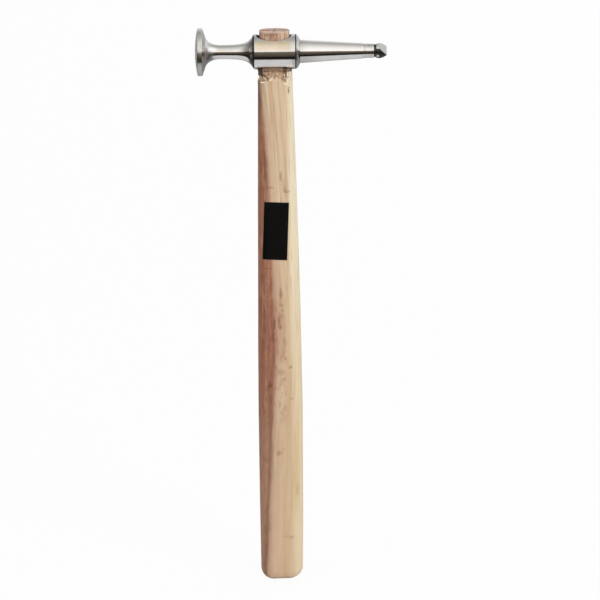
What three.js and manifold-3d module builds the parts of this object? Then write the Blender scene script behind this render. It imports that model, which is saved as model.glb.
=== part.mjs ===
// Auto body hammer, standing on the butt end of its handle.
// A turned steel head, with a round crowned striking face on one side and a short cross chisel
// on the other, is wedged on a wooden handle. Millimetres. +Z runs up the handle, +X points
// to the chisel, and the origin lies on the butt end, straight below the middle of the barrel.

import * as THREE from 'three';
import { mergeVertices } from 'three/addons/utils/BufferGeometryUtils.js';
import Module from 'manifold-3d';

const wasm = await Module();
wasm.setup();

// Fits: the gap that neighbouring pieces keep, and how far a cutter runs past what it cuts
const fitGap = 0.3;
const overrun = 2;

// Barrel: the thick middle of the head, with the oval eye through it
const axisHeight = 335;
const eyeLength = 21.2;
const eyeWidth = 14;
const eyeShift = 0.5;
const eyeTaper = 2.6;
const cheekWall = 3.7;
const faceEndWall = 1.8;
const shankEndWall = 3.3;
const barrelBevel = 0.5;

// Neck and striking face
const neckSpan = 29.3;
const neckRadius = 4.33;
const discRadius = 14.45;
const rimThickness = 3.1;
const rimRound = 0.5;
const faceCrown = 1.5;
const discBackSlope = 1.4;
const filletStartShare = 0.69;
const neckFilletShare = 0.3;
const neckFlareShare = 0.56;
const filletPullShares = [[0.47, 0.08], [0.07, 0.33]];
const flarePullShares = [[0.03, 0.53], [0.1, 0.86]];

// Shank: the taper that carries the chisel
const flangeLength = 2;
const flangePullShares = [0.42, 0.56];
const shankRootRadius = 7.1;
const shankEndRadius = 4.67;
const shankLength = 38.2;
const collarStep = 0.37;
const collarLength = 6.5;
const collarRound = 0.3;

// Chisel tip: a spigot in the shank's bore, an undercut, a round stub and two flat bevels
const spigotRadius = 2.5;
const spigotLength = 8;
const undercutStep = 0.5;
const undercutLength = 1.3;
const stubLength = 1.2;
const stubFlare = 0.27;
const edgeLand = 0.4;
const bevelHalfAngle = THREE.MathUtils.degToRad(40);
const edgeTurn = THREE.MathUtils.degToRad(22);

// Handle: grip, whittled shoulder below the barrel, and tenon through the eye
const buttWidth = 25.8;
const buttDepth = 20;
const buttRoundAcross = 5.2;
const buttRoundUp = 7.2;
const buttOffset = 1.3;
const gripBow = 0.6;
const swellHeight = 108;
const swellWidth = 27.3;
const swellDepth = 21;
const shoulderStepAcross = 0.5;
const shoulderStepDeep = 3.4;
const shoulderLength = 9.5;
const tenonProud = 2.6;
const tenonTaper = 2.4;
const tenonChamfer = 0.8;
const faceSideArrisShare = 0.15;
const chiselSideArrisShare = 0.19;
const arrisDepthShare = 0.32;

// Wedges in the top of the tenon, where the steel one stops short of the wooden one's toe,
// and the bare label on the front of the grip
const woodWedgeThickness = 2.4;
const woodWedgeToe = 0.8;
const woodWedgeDepth = 15;
const steelWedgeThickness = 1.6;
const steelWedgeToe = 0.5;
const steelWedgeWidth = 9;
const steelWedgeStop = 4;
const steelWedgeSink = 0.2;
const labelWidth = 14.5;
const labelLength = 35.5;
const labelThickness = 0.3;
const labelDrop = 109.7;
const labelShift = -0.6;
const labelTurn = THREE.MathUtils.degToRad(2.4);

// Fineness of the surfaces, and the roundness of the eye and of the handle's arrises
const turnedSteps = 48;
const curveSteps = 8;
const sectionSteps = 44;
const gripLevels = 16;
const shoulderLevels = 5;
const tenonLevels = 2;
const roundLevels = 5;
const labelLevels = 8;
const ovalPower = 2.6;
const arrisPower = 12;
const swellPower = 1.4;

// Places worked out from the sizes above
const barrelRadius = eyeWidth / 2 + cheekWall;
const barrelFaceEnd = -eyeShift - eyeLength / 2 - faceEndWall;
const barrelShankEnd = -eyeShift + eyeLength / 2 + shankEndWall;
const discBack = barrelFaceEnd - neckSpan;
const rimBack = discBack - discBackSlope;
const rimFront = rimBack - rimThickness;
const shankStart = barrelShankEnd + flangeLength;
const shankEnd = shankStart + shankLength;
const collarRadius = shankEndRadius - collarStep;
const collarEnd = shankEnd + collarLength;
const stubRadius = collarRadius + stubFlare;
const undercutEnd = collarEnd + undercutLength;
const bevelStart = undercutEnd + stubLength;
const bevelLength = (stubRadius - edgeLand / 2) / Math.tan(bevelHalfAngle);
const chiselEnd = bevelStart + bevelLength;
const tenonTop = axisHeight + barrelRadius + tenonProud;
const shoulderTop = axisHeight - barrelRadius - fitGap;
const shoulderBottom = shoulderTop - shoulderLength;
const tenonLength = eyeLength - 2 * fitGap;
const tenonWidth = eyeWidth - 2 * fitGap;
const shoulderWidth = tenonLength + shoulderStepAcross;
const shoulderDepth = tenonWidth + shoulderStepDeep;
const steelWedgeDepth = woodWedgeDepth - steelWedgeStop;

const steel = new THREE.MeshStandardMaterial({ color: 0xc4c3bd, roughness: 0.2, metalness: 1 });
const groundSteel = new THREE.MeshStandardMaterial({ color: 0xa3a3a2, roughness: 0.45, metalness: 1 });
const darkSteel = new THREE.MeshStandardMaterial({ color: 0x5d5b58, roughness: 0.55, metalness: 1 });
const paleWood = new THREE.MeshStandardMaterial({ color: 0xcfb28e, roughness: 0.62, metalness: 0 });
const wedgeWood = new THREE.MeshStandardMaterial({ color: 0xb08a62, roughness: 0.7, metalness: 0 });
const labelBlack = new THREE.MeshStandardMaterial({ color: 0x111114, roughness: 0.35, metalness: 0 });

// A closed geometry as a solid that can be cut: only positions, shared corners merged,
// and the triangles that collapse at a pole left out.
function solidOf(geometry) {
  const bare = geometry.clone();
  bare.deleteAttribute('normal');
  bare.deleteAttribute('uv');
  const merged = mergeVertices(bare);
  const corners = Array.from(merged.index.array);
  const kept = [];
  for (let i = 0; i < corners.length; i += 3) {
    const [a, b, c] = corners.slice(i, i + 3);
    if (a !== b && b !== c && c !== a) kept.push(a, b, c);
  }
  return new wasm.Manifold(new wasm.Mesh({
    numProp: 3,
    vertProperties: merged.attributes.position.array,
    triVerts: Uint32Array.from(kept),
  }));
}

function meshOf(name, solid, material) {
  const { vertProperties, triVerts } = solid.getMesh();
  const geometry = new THREE.BufferGeometry();
  geometry.setAttribute('position', new THREE.BufferAttribute(vertProperties, 3));
  geometry.setIndex(new THREE.BufferAttribute(triVerts, 1));
  geometry.computeVertexNormals();
  const mesh = new THREE.Mesh(geometry, material);
  mesh.name = name;
  return mesh;
}

// The point at these shares of the way from one corner of a box to the opposite one
function partWay(from, to, shares) {
  return shares.map((share, i) => THREE.MathUtils.lerp(from[i], to[i], share));
}

// A profile in radius and distance along the head, turned about the head's axis
function turnedAlongHead(profile) {
  const geometry = new THREE.LatheGeometry(profile.getPoints(curveSteps), turnedSteps);
  geometry.rotateZ(-Math.PI / 2);
  geometry.translate(0, 0, axisHeight);
  return solidOf(geometry);
}

// A closed surface through one section of the handle at each level, with a flat cap at each end.
// sectionAt gives the centre in X and the outline as a point at an angle.
function loftUp(levels, sectionAt) {
  const positions = [];
  for (const level of levels) {
    const { centre, outline } = sectionAt(level);
    for (let i = 0; i < sectionSteps; i += 1) {
      const [across, deep] = outline((i / sectionSteps) * 2 * Math.PI);
      positions.push(centre + across, deep, level.height);
    }
  }
  const bottomCentre = levels.length * sectionSteps;
  const topCentre = bottomCentre + 1;
  const lastRing = (levels.length - 1) * sectionSteps;
  positions.push(sectionAt(levels[0]).centre, 0, levels[0].height);
  positions.push(sectionAt(levels.at(-1)).centre, 0, levels.at(-1).height);

  const corners = [];
  for (let i = 0; i < sectionSteps; i += 1) {
    const next = (i + 1) % sectionSteps;
    for (let ring = 0; ring < lastRing; ring += sectionSteps) {
      const above = ring + sectionSteps;
      corners.push(ring + i, ring + next, above + next, ring + i, above + next, above + i);
    }
    corners.push(bottomCentre, next, i, topCentre, lastRing + i, lastRing + next);
  }
  const geometry = new THREE.BufferGeometry();
  geometry.setAttribute('position', new THREE.Float32BufferAttribute(positions, 3));
  geometry.setIndex(corners);
  return solidOf(geometry);
}

// The rounded oval of the eye and the tenon, as a point at an angle
function ovalPoint(angle, halfLength, halfWidth) {
  const along = Math.abs(Math.cos(angle) / halfLength) ** ovalPower;
  const across = Math.abs(Math.sin(angle) / halfWidth) ** ovalPower;
  const reach = (along + across) ** (-1 / ovalPower);
  return [reach * Math.cos(angle), reach * Math.sin(angle)];
}

// The eye is straight above the middle of the barrel, and narrows below it to its lower mouth
function eyeWidthAt(height) {
  return eyeWidth - eyeTaper * THREE.MathUtils.clamp((axisHeight - height) / barrelRadius, 0, 1);
}

// The grip's section: four flats and four bevelled corners, softened where they meet. Each flat is
// a direction and a distance from the middle. The softening draws the outline in a little, so it is
// stretched back to its named width and depth.
function gripOutline(width, depth) {
  const halfWidth = width / 2;
  const halfDepth = depth / 2;
  const flats = [[1, 0, halfWidth], [-1, 0, halfWidth], [0, 1, halfDepth], [0, -1, halfDepth]];
  for (const [side, share] of [[1, chiselSideArrisShare], [-1, faceSideArrisShare]]) {
    const cutAcross = width * share;
    const cutDeep = depth * arrisDepthShare;
    const slant = Math.hypot(cutAcross, cutDeep);
    const distance = (cutDeep * (halfWidth - cutAcross) + cutAcross * halfDepth) / slant;
    flats.push([side * cutDeep / slant, cutAcross / slant, distance]);
    flats.push([side * cutDeep / slant, -cutAcross / slant, distance]);
  }
  const reach = (angle) => {
    let sum = 0;
    for (const [towardX, towardY, distance] of flats) {
      const facing = towardX * Math.cos(angle) + towardY * Math.sin(angle);
      sum += (Math.max(facing, 0) / distance) ** arrisPower;
    }
    return sum ** (-1 / arrisPower);
  };
  const chiselSideStretch = halfWidth / reach(0);
  const faceSideStretch = halfWidth / reach(Math.PI);
  const deepStretch = halfDepth / reach(Math.PI / 2);
  return (angle) => {
    const across = reach(angle) * Math.cos(angle);
    const deep = reach(angle) * Math.sin(angle);
    return [across * (across > 0 ? chiselSideStretch : faceSideStretch), deep * deepStretch];
  };
}

// The grip widens from the butt to the swell, and narrows from there to the shoulder
function gripSize(height, butt, swell, shoulder) {
  if (height < swellHeight) {
    const share = 1 - height / swellHeight;
    return swell + (butt - swell) * share * share;
  }
  const share = (height - swellHeight) / (shoulderBottom - swellHeight);
  return shoulder + (swell - shoulder) * (1 - Math.min(share, 1) ** swellPower);
}

function gripCentre(height) {
  const share = 1 - height / axisHeight;
  return buttOffset * share + 4 * gripBow * share * (1 - share);
}

function handleSection({ height, inset = 0, grow = 0 }) {
  const width = gripSize(height, buttWidth, swellWidth, shoulderWidth);
  const depth = gripSize(height, buttDepth, swellDepth, shoulderDepth);
  const tenonShare = THREE.MathUtils.clamp((height - shoulderTop) / (tenonTop - shoulderTop), 0, 1);
  const gripShare = THREE.MathUtils.smoothstep(shoulderTop - height, 0, shoulderLength);
  const halfLength = (tenonLength - tenonShare * tenonTaper) / 2 - inset;
  const halfWidth = eyeWidthAt(height) / 2 - fitGap - inset;
  const tenonCentre = -eyeShift * (1 - tenonShare);
  const tenonPoint = (angle) => ovalPoint(angle, halfLength, halfWidth);
  const gripPoint = gripOutline(width + 2 * (grow - inset), depth + 2 * (grow - inset));
  return {
    centre: THREE.MathUtils.lerp(tenonCentre, gripCentre(height), gripShare),
    outline: (angle) => partWay(tenonPoint(angle), gripPoint(angle), [gripShare, gripShare]),
  };
}

// Evenly spaced levels, both ends included
function levelsBetween(from, to, steps) {
  return Array.from({ length: steps + 1 }, (_, i) => ({ height: from + (to - from) * (i / steps) }));
}

// The handle before its top is sawn: rounded at the butt, bevelled at the tenon's top
function wholeHandle() {
  const buttRound = Array.from({ length: roundLevels }, (_, i) => {
    const turn = (i / roundLevels) * (Math.PI / 2);
    return {
      height: buttRoundUp * (1 - Math.cos(turn)),
      inset: buttRoundAcross * (1 - Math.sin(turn)),
    };
  });
  return loftUp([
    ...buttRound,
    ...levelsBetween(buttRoundUp, shoulderBottom, gripLevels).slice(0, -1),
    ...levelsBetween(shoulderBottom, shoulderTop, shoulderLevels).slice(0, -1),
    ...levelsBetween(shoulderTop, axisHeight, tenonLevels).slice(0, -1),
    ...levelsBetween(axisHeight, tenonTop - tenonChamfer, tenonLevels),
    { height: tenonTop, inset: tenonChamfer },
  ], handleSection);
}

// A wedge standing on its toe. Its thickness runs along Y, its length along X, and grow widens
// all its sides, so the same shape cuts its own slot.
function wedgeSolid(thickness, toe, length, depth, top, grow) {
  const outline = new THREE.Shape();
  outline.moveTo(-toe / 2 - grow, -depth - grow);
  outline.lineTo(toe / 2 + grow, -depth - grow);
  outline.lineTo(thickness / 2 + grow, 0);
  if (grow > 0) {
    outline.lineTo(thickness / 2 + grow, overrun);
    outline.lineTo(-thickness / 2 - grow, overrun);
  }
  outline.lineTo(-thickness / 2 - grow, 0);
  const depthOut = length + 2 * grow;
  const geometry = new THREE.ExtrudeGeometry(outline, { depth: depthOut, bevelEnabled: false });
  geometry.translate(0, 0, -depthOut / 2);
  geometry.rotateX(Math.PI / 2);
  geometry.rotateZ(Math.PI / 2);
  geometry.translate(0, 0, top);
  return geometry;
}

function hammerHead() {
  const filletRadius = discRadius * filletStartShare;
  const neckStart = discBack + neckSpan * neckFilletShare;
  const neckEnd = barrelFaceEnd - neckSpan * neckFlareShare;
  const faceRadius = discRadius - rimRound;
  const profile = new THREE.Path();
  profile.moveTo(0, rimFront - faceCrown);
  profile.quadraticCurveTo(faceRadius / 2, rimFront - faceCrown, faceRadius, rimFront);
  profile.quadraticCurveTo(discRadius, rimFront, discRadius, rimFront + rimRound);
  profile.lineTo(discRadius, rimBack - rimRound);
  profile.quadraticCurveTo(discRadius, rimBack, discRadius - rimRound, rimBack);
  profile.lineTo(filletRadius, discBack);
  profile.bezierCurveTo(
    ...partWay([neckRadius, discBack], [filletRadius, neckStart], filletPullShares[0]),
    ...partWay([neckRadius, discBack], [filletRadius, neckStart], filletPullShares[1]),
    neckRadius, neckStart,
  );
  profile.lineTo(neckRadius, neckEnd);
  profile.bezierCurveTo(
    ...partWay([neckRadius, neckEnd], [barrelRadius, barrelFaceEnd], flarePullShares[0]),
    ...partWay([neckRadius, neckEnd], [barrelRadius, barrelFaceEnd], flarePullShares[1]),
    barrelRadius - barrelBevel, barrelFaceEnd,
  );
  profile.lineTo(barrelRadius, barrelFaceEnd + barrelBevel);
  profile.lineTo(barrelRadius, barrelShankEnd - barrelBevel);
  profile.lineTo(barrelRadius - barrelBevel, barrelShankEnd);
  profile.quadraticCurveTo(
    ...partWay([barrelRadius, barrelShankEnd], [shankRootRadius, shankStart], flangePullShares),
    shankRootRadius, shankStart,
  );
  profile.lineTo(shankEndRadius, shankEnd);
  profile.lineTo(collarRadius, shankEnd);
  profile.lineTo(collarRadius, collarEnd - collarRound);
  profile.lineTo(collarRadius - collarRound, collarEnd);
  profile.lineTo(spigotRadius + fitGap, collarEnd);
  profile.lineTo(spigotRadius + fitGap, collarEnd - spigotLength - fitGap);
  profile.lineTo(0, collarEnd - spigotLength - fitGap);

  const lowerMouth = axisHeight - barrelRadius;
  const upperMouth = axisHeight + barrelRadius;
  const eyeHeights = [lowerMouth - overrun, lowerMouth, axisHeight, upperMouth + overrun];
  const eye = loftUp(eyeHeights.map((height) => ({ height })), ({ height }) => ({
    centre: -eyeShift,
    outline: (angle) => ovalPoint(angle, eyeLength / 2, eyeWidthAt(height) / 2),
  }));
  return turnedAlongHead(profile).subtract(eye);
}

function chiselTip() {
  const undercutRadius = collarRadius - undercutStep;
  const profile = new THREE.Path();
  profile.moveTo(0, collarEnd - spigotLength);
  profile.lineTo(spigotRadius, collarEnd - spigotLength);
  profile.lineTo(spigotRadius, collarEnd + fitGap);
  profile.lineTo(undercutRadius, collarEnd + fitGap);
  profile.lineTo(undercutRadius, undercutEnd);
  profile.lineTo(collarRadius, undercutEnd);
  profile.quadraticCurveTo(collarRadius, bevelStart, stubRadius, bevelStart);
  profile.lineTo(stubRadius, chiselEnd + overrun);
  profile.lineTo(0, chiselEnd + overrun);

  // Both bevels at once: a wedge that points along the head, turned so that the edge dips
  const spread = stubRadius + overrun;
  const bevelReach = (spread - edgeLand / 2) / Math.tan(bevelHalfAngle);
  const bevels = new THREE.Shape();
  bevels.moveTo(collarEnd - spigotLength - overrun, -spread);
  bevels.lineTo(chiselEnd - bevelReach, -spread);
  bevels.lineTo(chiselEnd, -edgeLand / 2);
  bevels.lineTo(chiselEnd, edgeLand / 2);
  bevels.lineTo(chiselEnd - bevelReach, spread);
  bevels.lineTo(collarEnd - spigotLength - overrun, spread);
  const cutter = new THREE.ExtrudeGeometry(bevels, { depth: 2 * spread, bevelEnabled: false });
  cutter.translate(0, 0, -spread);
  cutter.rotateX(Math.PI / 2 + edgeTurn);
  cutter.translate(0, 0, axisHeight);
  return turnedAlongHead(profile).intersect(solidOf(cutter));
}

// The wooden wedge runs the length of the tenon; the steel one crosses it
function woodWedge(grow) {
  const length = eyeLength + 2 * overrun;
  return solidOf(wedgeSolid(woodWedgeThickness, woodWedgeToe, length, woodWedgeDepth, tenonTop, grow));
}

function steelWedge(grow) {
  const faces = [steelWedgeThickness, steelWedgeToe, steelWedgeWidth, steelWedgeDepth];
  const crossing = wedgeSolid(...faces, tenonTop - steelWedgeSink, grow);
  crossing.rotateZ(Math.PI / 2);
  return solidOf(crossing);
}

// The label follows the grip's front: a thin skin over it, cut to a leaning rectangle
function labelSkin() {
  const middle = axisHeight - labelDrop;
  const low = middle - labelLength / 2 - overrun;
  const high = middle + labelLength / 2 + overrun;
  const skin = (grow) => loftUp(
    levelsBetween(low, high, labelLevels).map((level) => ({ ...level, grow })),
    handleSection,
  );
  const window = new THREE.BoxGeometry(labelWidth, swellDepth, labelLength);
  window.rotateY(labelTurn);
  window.translate(labelShift, -swellDepth / 2, middle);
  return skin(fitGap + labelThickness).intersect(solidOf(window)).subtract(skin(fitGap));
}

const handleBlank = wholeHandle();
const hammer = new THREE.Group();
hammer.add(
  meshOf('hammer_head', hammerHead(), steel),
  meshOf('chisel_tip', chiselTip(), groundSteel),
  meshOf('handle', handleBlank.subtract(woodWedge(fitGap)).subtract(steelWedge(fitGap)), paleWood),
  meshOf('wooden_wedge', handleBlank.intersect(woodWedge(0)).subtract(steelWedge(fitGap)), wedgeWood),
  meshOf('steel_wedge', steelWedge(0), darkSteel),
  meshOf('blank_label', labelSkin(), labelBlack),
);

export default hammer;
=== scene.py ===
# Auto body hammer, standing on the butt end of its handle: a bright turned head, with a crowned
# striking face and a short cross chisel, wedged on a pale wooden handle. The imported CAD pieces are
# loaded as a fixed frame, and a finer piece in the same place stands for each of them.
# Sizes are in millimetres until a mesh is written. +X points to the chisel, and +Z up the handle.

import math

import bpy
import numpy as np
from mathutils import Matrix, Vector


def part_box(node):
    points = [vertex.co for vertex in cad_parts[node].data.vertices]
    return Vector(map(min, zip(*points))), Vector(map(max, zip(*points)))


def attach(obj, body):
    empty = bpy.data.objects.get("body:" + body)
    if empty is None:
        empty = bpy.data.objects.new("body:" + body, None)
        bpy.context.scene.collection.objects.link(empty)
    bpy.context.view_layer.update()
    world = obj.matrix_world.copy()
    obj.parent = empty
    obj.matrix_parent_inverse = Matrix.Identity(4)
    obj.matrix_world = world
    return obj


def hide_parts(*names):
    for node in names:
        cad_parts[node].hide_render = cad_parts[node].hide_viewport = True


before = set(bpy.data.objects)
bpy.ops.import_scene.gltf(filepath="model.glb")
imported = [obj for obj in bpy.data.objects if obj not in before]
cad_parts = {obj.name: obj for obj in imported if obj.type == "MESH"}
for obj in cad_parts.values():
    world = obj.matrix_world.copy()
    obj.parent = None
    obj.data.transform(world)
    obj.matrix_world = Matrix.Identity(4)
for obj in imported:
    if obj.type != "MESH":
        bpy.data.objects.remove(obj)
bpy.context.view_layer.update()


# The camera. It stands well back with a long lens, as for a catalogue picture, and looks down on
# the head by about 12 degrees. It leans a little, so that the chisel side lies a touch higher.
metre = 1000.0
sight_target = Vector((14.0, 0, 179.0)) / metre
sight_distance = 2.6
sight_lift = math.radians(15.4)
sight_lean = math.radians(0.53)
lens_length = 253.8
sensor_width = 36.0

ahead = Vector((0, math.cos(sight_lift), -math.sin(sight_lift)))
level_right = Vector((1, 0, 0))
level_up = level_right.cross(ahead)
picture_right = level_right * math.cos(sight_lean) - level_up * math.sin(sight_lean)
picture_up = level_right * math.sin(sight_lean) + level_up * math.cos(sight_lean)
view_turn = Matrix((picture_right, picture_up, -ahead)).transposed().to_4x4()
camera = bpy.data.objects.new("camera", bpy.data.cameras.new("camera"))
camera.data.lens = lens_length
camera.data.sensor_width = sensor_width
camera.matrix_world = Matrix.Translation(sight_target - ahead * sight_distance) @ view_turn
bpy.context.scene.collection.objects.link(camera)
bpy.context.scene.camera = camera


# The studio. Soft white light all round, a large soft lamp from the upper right, and weak ones from
# the left and from behind. Polished steel mirrors the room: a bright wall above eye height, a dark
# band below it and a pale table. The room is plain grey behind the object, and dim to its left.
bpy.context.scene.view_settings.view_transform = "Standard"


class Socket:
    """One output of a shader node. Sums on it add Math nodes to the tree that is being built."""

    tree = None

    def __init__(self, outlet):
        self.outlet = outlet

    @classmethod
    def node(cls, kind, settings=None, sockets=None, outlet=0):
        """Adds a node: its type, its settings, the values or links of its sockets, and the output
        that is wanted. A ramp's stops, pairs of a place and a colour, are one of its settings."""
        added = cls.tree.nodes.new("ShaderNode" + kind)
        for name, value in (settings or {}).items():
            if name == "stops":
                stops = added.color_ramp.elements
                first, *middle, last = value
                stops[0].position, stops[0].color = first
                stops[1].position, stops[1].color = last
                for place, colour in middle:
                    stops.new(place).color = colour
            else:
                setattr(added, name, value)
        for name, value in (sockets or {}).items():
            if isinstance(value, Socket):
                cls.tree.links.new(value.outlet, added.inputs[name])
            else:
                added.inputs[name].default_value = value
        return cls(added.outputs[outlet]) if len(added.outputs) else None

    def math(self, operation, *others):
        terms = dict(enumerate((self, *others)))
        return Socket.node("Math", {"operation": operation}, terms)

    def __add__(self, other):
        return self.math("ADD", other)

    def __mul__(self, other):
        return self.math("MULTIPLY", other)

    def __sub__(self, other):
        return self.math("SUBTRACT", other)

    def __rsub__(self, other):
        return Socket.node("Math", {"operation": "SUBTRACT"}, {0: other, 1: self})

    def __truediv__(self, other):
        return self.math("DIVIDE", other)

    __radd__ = __add__
    __rmul__ = __mul__


def paint(red, green, blue):
    """A colour as it is seen, 0 to 255, made linear light: c / 12.92 near black, and else
    ((c + 0.055) / 1.055) ^ 2.4."""
    shares = [channel / 255 for channel in (red, green, blue)]
    linear = [s / 12.92 if s <= 0.04045 else ((s + 0.055) / 1.055) ** 2.4 for s in shares]
    return (*linear, 1)


def grey(brightness):
    return (brightness, brightness, brightness, 1)


def ramp(value, *stops):
    """A colour that runs through these stops, pairs of a place and a colour."""
    return Socket.node("ValToRGB", {"stops": stops}, {"Fac": value})


def blend(mask, low, high, mode="MIX"):
    """A colour between two others, by a mask from 0 to 1."""
    settings = {"data_type": "RGBA", "blend_type": mode}
    return Socket.node("Mix", settings, {0: mask, 6: low, 7: high}, outlet=2)


def rise(value, low, high):
    """A smooth step from 0 at low to 1 at high. It falls where high is the lower one."""
    limits = {"Value": value, "From Min": low, "From Max": high}
    return Socket.node("MapRange", {"interpolation_type": "SMOOTHSTEP"}, limits)


def window(value, low, high, soft):
    """1 between low and high, with soft edges."""
    return rise(value, low - soft, low + soft) * rise(value, high + soft, high - soft)


def axes(vector):
    """The X, Y and Z of a vector."""
    parts = Socket.node("SeparateXYZ", None, {0: vector}).outlet.node.outputs
    return [Socket(part) for part in parts]


# The room as the steel mirrors it: each elevation in degrees, and the red, green and blue light
# there. The first is what stands in front of the object, and the second what stands behind it.
mirrored_bands = (
    (-90, 0.66, 0.66, 0.66), (-49, 0.64, 0.64, 0.65), (-44, 0.56, 0.56, 0.57),
    (-40, 0.02, 0.015, 0.012), (-28, 0.008, 0.006, 0.004), (-20, 0.05, 0.04, 0.034),
    (-13, 0.085, 0.075, 0.055), (5, 0.15, 0.125, 0.1), (9, 0.26, 0.22, 0.2), (12, 1.02, 0.95, 0.94),
    (22, 0.98, 0.95, 0.91), (48, 0.86, 0.84, 0.81), (90, 0.5, 0.49, 0.48),
)
bands_behind = (
    (-90, 0.6, 0.6, 0.6), (-45, 0.52, 0.52, 0.52), (-25, 0.28, 0.28, 0.27), (-8, 0.34, 0.33, 0.32),
    (8, 0.8, 0.8, 0.79), (25, 0.7, 0.7, 0.69), (50, 0.42, 0.42, 0.41), (90, 0.34, 0.34, 0.33),
)
mirror_strength = 1.15
soft_light_strength = 0.62
backdrop_white = 0.985
window_white = 1.25

studio = bpy.data.worlds.new("studio")
studio.use_nodes = True
studio.node_tree.nodes.clear()
bpy.context.scene.world = studio
Socket.tree = studio.node_tree
toward_x, toward_y, toward_z = axes(Socket.node("TexCoord", outlet="Generated"))
elevation = toward_z.math("ARCSINE") * (180 / math.pi)


def room_wall(bands):
    """The light of the room at each elevation."""
    stops = [((degrees + 90) / 180, (*light, 1)) for degrees, *light in bands]
    return ramp((elevation + 90) / 180, *stops)


behind = rise(toward_y, -0.15, 0.35)
window_glow = window(toward_x, 0.3, 1.2, 0.15) * rise(elevation, 10, 16) * rise(toward_y, 0, -0.2)
leftward = rise(toward_x, -0.2, -0.75) * rise(elevation, -50, -38)
room = blend(window_glow * 0.8, room_wall(mirrored_bands), grey(window_white))
room = blend(behind, room, room_wall(bands_behind))
dim_side = blend(rise(elevation, 6, 14), paint(44, 38, 36), paint(104, 102, 100))
room = blend(leftward * 0.8, room, dim_side)
plain_ray = Socket.node("LightPath", outlet="Is Camera Ray")
plain_ray = plain_ray.math("MAXIMUM", Socket.node("LightPath", outlet="Is Transmission Ray"))
glossy_ray = Socket.node("LightPath", outlet="Is Glossy Ray")
lit = Socket.node("Background", None, {"Color": grey(1), "Strength": soft_light_strength})
mirrored = Socket.node("Background", None, {"Color": room, "Strength": mirror_strength})
white = Socket.node("Background", None, {"Color": grey(backdrop_white), "Strength": 1.0})
seen = Socket.node("MixShader", None, {0: glossy_ray, 1: lit, 2: mirrored})
seen = Socket.node("MixShader", None, {0: plain_ray, 1: seen, 2: white})
Socket.node("OutputWorld", None, {"Surface": seen})

# Each lamp's place and width in metres, and its power in watts
lamps = {
    "key": ((1.5, -1.9, 1.5), 1.3, 26.0),
    "fill": ((-1.9, -1.2, 0.9), 1.6, 5.0),
    "back": ((0.9, 2.2, 1.3), 1.6, 9.0),
}
lamp_target = Vector((0, 0, 0.18))
for lamp_name, (stand, lamp_width, power) in lamps.items():
    lamp = bpy.data.objects.new(lamp_name, bpy.data.lights.new(lamp_name, "AREA"))
    lamp.data.size = lamp_width
    lamp.data.energy = power
    lamp.location = stand
    lamp.rotation_euler = (lamp_target - lamp.location).to_track_quat("-Z", "Y").to_euler()
    lamp.visible_glossy = False
    bpy.context.scene.collection.objects.link(lamp)


# The floor. A plain white sheet far wider than the view. It is near white to the camera and keeps
# a soft shadow, and the steel mirrors the studio instead of it.
floor_radius = 9.0
floor_sink = 0.0001
floor_sides = 96
floor_white = 0.93
floor_glow = 0.94

around = np.linspace(0, 2 * np.pi, floor_sides, endpoint=False)
rim = np.stack([np.cos(around), np.sin(around), np.zeros(floor_sides)], axis=1) * floor_radius
floor_mesh = bpy.data.meshes.new("floor")
floor_mesh.from_pydata((rim - [0, 0, floor_sink]).tolist(), [], [list(range(floor_sides))])
floor = bpy.data.objects.new("floor", floor_mesh)
floor.visible_glossy = False
bpy.context.scene.collection.objects.link(floor)


def new_material(piece):
    """A fresh material on a piece, whose tree is the one that is being built."""
    material = bpy.data.materials.new(piece.name)
    material.use_nodes = True
    material.node_tree.nodes.clear()
    piece.data.materials.clear()
    piece.data.materials.append(material)
    Socket.tree = material.node_tree


new_material(floor)
sheet = Socket.node("BsdfDiffuse", None, {"Color": grey(floor_white)})
glow = Socket.node("Emission", None, {"Color": grey(1), "Strength": 1.0})
shown = Socket.node("LightPath", outlet="Is Camera Ray") * floor_glow
sheet = Socket.node("MixShader", None, {0: shown, 1: sheet, 2: glow})
Socket.node("OutputMaterial", None, {"Surface": sheet})


# The handle. One length of pale hardwood, sawn and sanded to a rounded rectangle with bevelled
# corners, rounded at the butt. Under the barrel it is whittled down with a knife to a tenon, which
# goes through the eye and stands a little proud of the barrel.
head_low, head_high = [np.array(corner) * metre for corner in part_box("hammer_head")]
axis_height = (head_low[2] + head_high[2]) / 2
tenon_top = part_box("handle")[1][2] * metre
eye_length = 21.2
eye_width = 14.0
eye_shift = 0.5
eye_taper = 2.6
barrel_radius = 10.7
fit_gap = 0.3
tenon_length = eye_length - 2 * fit_gap
tenon_width = eye_width - 2 * fit_gap
butt_width = 25.8
butt_depth = 20.0
butt_round_across = 5.2
butt_round_up = 7.2
butt_round_chisel_side = 0.7
butt_round_flats = 0.6
butt_offset = 1.3
grip_bow = 0.6
swell_height = 108.0
swell_width = 27.3
swell_depth = 21.0
swell_power = 1.4
shoulder_length = 9.5
shoulder_top = axis_height - barrel_radius - fit_gap
shoulder_bottom = shoulder_top - shoulder_length
shoulder_width = tenon_length + 0.5
shoulder_depth = tenon_width + 3.4
tenon_taper = 2.4
tenon_round = 0.9
oval_power = 2.6
arris_power = 12.0
arris_depth_share = 0.32
face_side_arris_share = 0.15
chisel_side_arris_share = 0.19
sanding_waves = 0.07
handle_columns = 288
butt_rows = 18
grip_rows = 92
shoulder_rows = 112
tenon_rows = 26
round_rows = 9
cap_shares = np.array([0.3, 0.55, 0.78, 0.93])

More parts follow.
